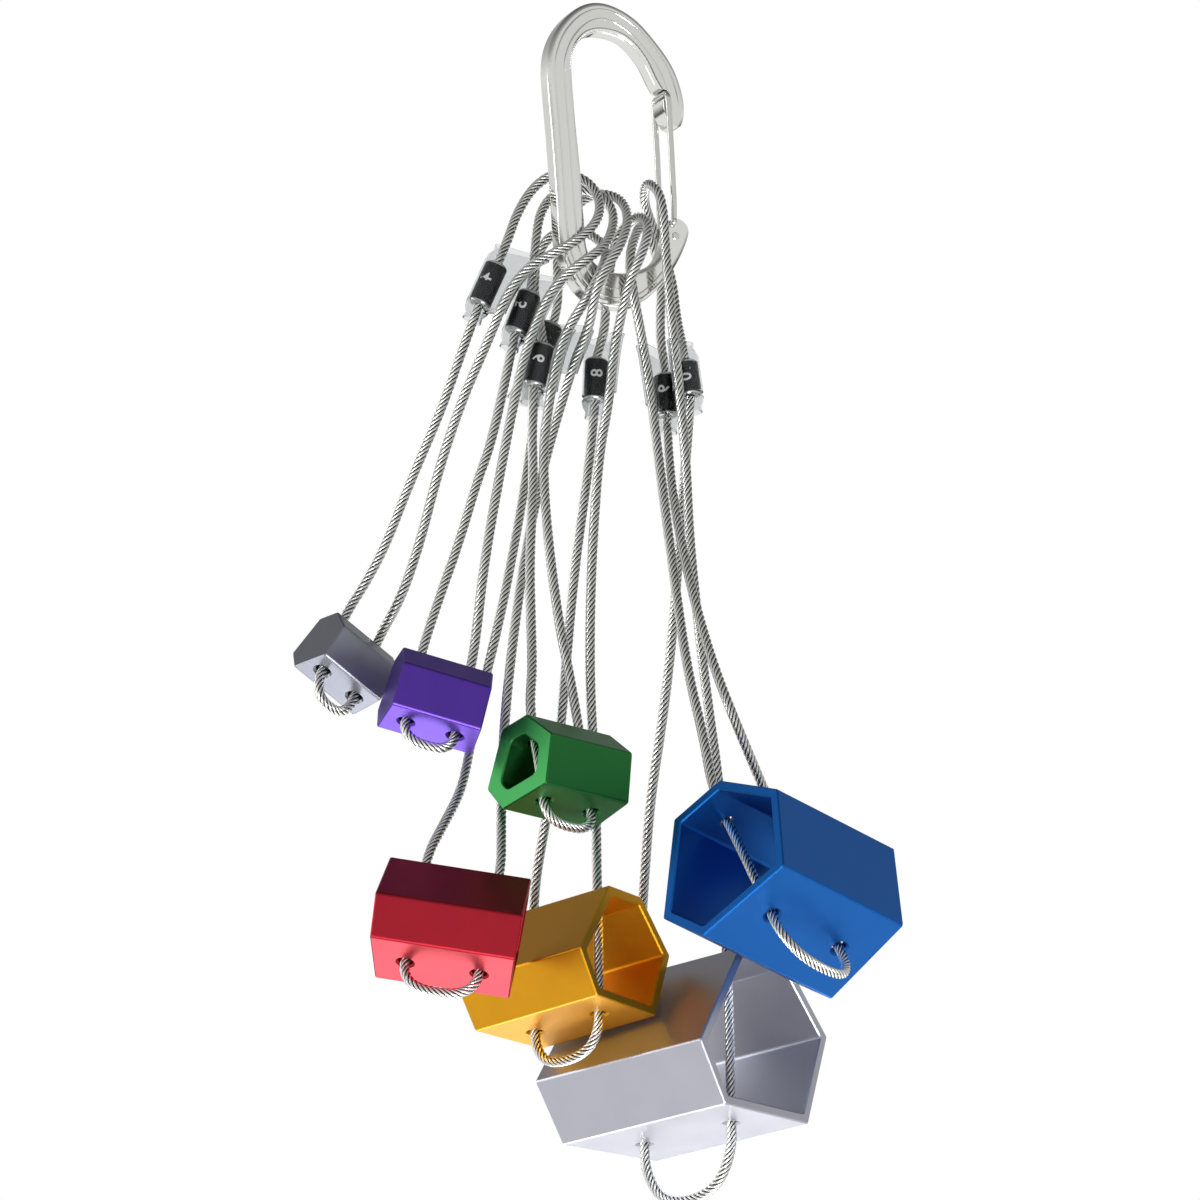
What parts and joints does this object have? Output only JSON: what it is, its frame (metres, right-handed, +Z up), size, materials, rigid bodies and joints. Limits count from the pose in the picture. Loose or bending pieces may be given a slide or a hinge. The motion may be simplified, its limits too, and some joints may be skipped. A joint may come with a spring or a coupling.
{
  "type": "wired chock rack",
  "caption": "Carabiner carrying wired hexagonal chocks of rising size, each on a looped wire sling with a swaged ferrule.",
  "frame": {"origin": "where the carabiner's upper bow bears on what it hangs from", "axes": "+Z up, +X to the right along the rack, +Y away from its front"},
  "size_m": [0.1901, 0.1326, 0.3897],
  "materials": {
    "polished_alloy": "polished",
    "gate_steel": "polished",
    "wire_rope": "stranded wire",
    "ferrule_metal": "swaged",
    "label_band": "printed band",
    "heat_shrink": "clear shrink tube",
    "anodised_grey": "satin anodised",
    "anodised_purple": "satin anodised",
    "anodised_green": "satin anodised",
    "anodised_red": "satin anodised",
    "anodised_gold": "satin anodised",
    "anodised_blue": "satin anodised",
    "anodised_silver": "satin anodised"
  },
  "bodies": {
    "carabiner": {"carabiner_body": "polished_alloy", "gate_rivet": "gate_steel"},
    "gate": {"gate_wire": "gate_steel"},
    "sling_4": {"sling_4_cable": "wire_rope", "sling_4_ferrule": "ferrule_metal", "sling_4_label": "label_band", "sling_4_sleeve": "heat_shrink"},
    "block_4": {"chock_4_block": "anodised_grey"},
    "sling_5": {"sling_5_cable": "wire_rope", "sling_5_ferrule": "ferrule_metal", "sling_5_label": "label_band", "sling_5_sleeve": "heat_shrink"},
    "block_5": {"chock_5_block": "anodised_purple"},
    "sling_6": {"sling_6_cable": "wire_rope", "sling_6_ferrule": "ferrule_metal", "sling_6_label": "label_band", "sling_6_sleeve": "heat_shrink"},
    "block_6": {"chock_6_block": "anodised_green"},
    "sling_7": {"sling_7_cable": "wire_rope", "sling_7_ferrule": "ferrule_metal", "sling_7_label": "label_band", "sling_7_sleeve": "heat_shrink"},
    "block_7": {"chock_7_block": "anodised_red"},
    "sling_8": {"sling_8_cable": "wire_rope", "sling_8_ferrule": "ferrule_metal", "sling_8_label": "label_band", "sling_8_sleeve": "heat_shrink"},
    "block_8": {"chock_8_block": "anodised_gold"},
    "sling_9": {"sling_9_cable": "wire_rope", "sling_9_ferrule": "ferrule_metal", "sling_9_label": "label_band", "sling_9_sleeve": "heat_shrink"},
    "block_9": {"chock_9_block": "anodised_blue"},
    "sling_10": {"sling_10_cable": "wire_rope", "sling_10_ferrule": "ferrule_metal", "sling_10_label": "label_band", "sling_10_sleeve": "heat_shrink"},
    "block_10": {"chock_10_block": "anodised_silver"}
  },
  "joints": [
    {"name": "gate_hinge", "type": "hinge", "parent": "carabiner", "child": "gate", "pos_m": [0.02219, 0.0113, -0.0608], "axis": [0.454, -0.891, 0], "range_deg": [0, 10], "stiffness_Nm_per_rad": 0.05, "springref_deg": -8.59},
    {"name": "sling_4_swing", "type": "hinge", "parent": "carabiner", "child": "sling_4", "pos_m": [-0.01, 0, -0.055], "axis": [1, 0, 0], "range_deg": [-12, 0]},
    {"name": "block_4_slide", "type": "slide", "parent": "sling_4", "child": "block_4", "axis": [0.2936, 0.3449, 0.8915], "range_m": [0, 0.004]},
    {"name": "sling_5_swing", "type": "hinge", "parent": "carabiner", "child": "sling_5", "pos_m": [-0.01, 0.00046, -0.078], "axis": [0.866, 0.5, 0], "range_deg": [-4, 0]},
    {"name": "block_5_slide", "type": "slide", "parent": "sling_5", "child": "block_5", "axis": [0.1888, 0.2177, 0.9576], "range_m": [0, 0.008]},
    {"name": "sling_6_swing", "type": "hinge", "parent": "carabiner", "child": "sling_6", "pos_m": [-0.0035, -0.00533, -0.088], "axis": [0.866, 0.5, 0], "range_deg": [-5, 0]},
    {"name": "block_6_slide", "type": "slide", "parent": "sling_6", "child": "block_6", "axis": [-0.1316, 0.1833, 0.9742], "range_m": [0, 0.005]},
    {"name": "sling_7_swing", "type": "hinge", "parent": "carabiner", "child": "sling_7", "pos_m": [0.0005, -0.00433, -0.078], "axis": [0.866, 0.5, 0], "range_deg": [0, 2]},
    {"name": "block_7_slide", "type": "slide", "parent": "sling_7", "child": "block_7", "axis": [0.166, 0.263, 0.9504], "range_m": [0, 0.006]},
    {"name": "sling_8_swing", "type": "hinge", "parent": "carabiner", "child": "sling_8", "pos_m": [0.011, 0.003, -0.075], "axis": [0.6712, 0.7413, 0], "range_deg": [0, 9]},
    {"name": "block_8_slide", "type": "slide", "parent": "sling_8", "child": "block_8", "axis": [-0.015, 0.0611, 0.998], "range_m": [0, 0.006]},
    {"name": "sling_9_swing", "type": "hinge", "parent": "carabiner", "child": "sling_9", "pos_m": [0.012, 0.00354, -0.078], "axis": [-0.866, 0.5, 0], "range_deg": [0, 9]},
    {"name": "block_9_slide", "type": "slide", "parent": "sling_9", "child": "block_9", "axis": [-0.3208, 0.4468, 0.8352], "range_m": [0, 0.002]},
    {"name": "sling_10_swing", "type": "hinge", "parent": "carabiner", "child": "sling_10", "pos_m": [0.018, 0.00654, -0.058], "axis": [-0.866, 0.5, 0], "range_deg": [-14, 0]},
    {"name": "block_10_slide", "type": "slide", "parent": "sling_10", "child": "block_10", "axis": [-0.0247, 0, 0.9997], "range_m": [0, 0.002]}
  ]
}
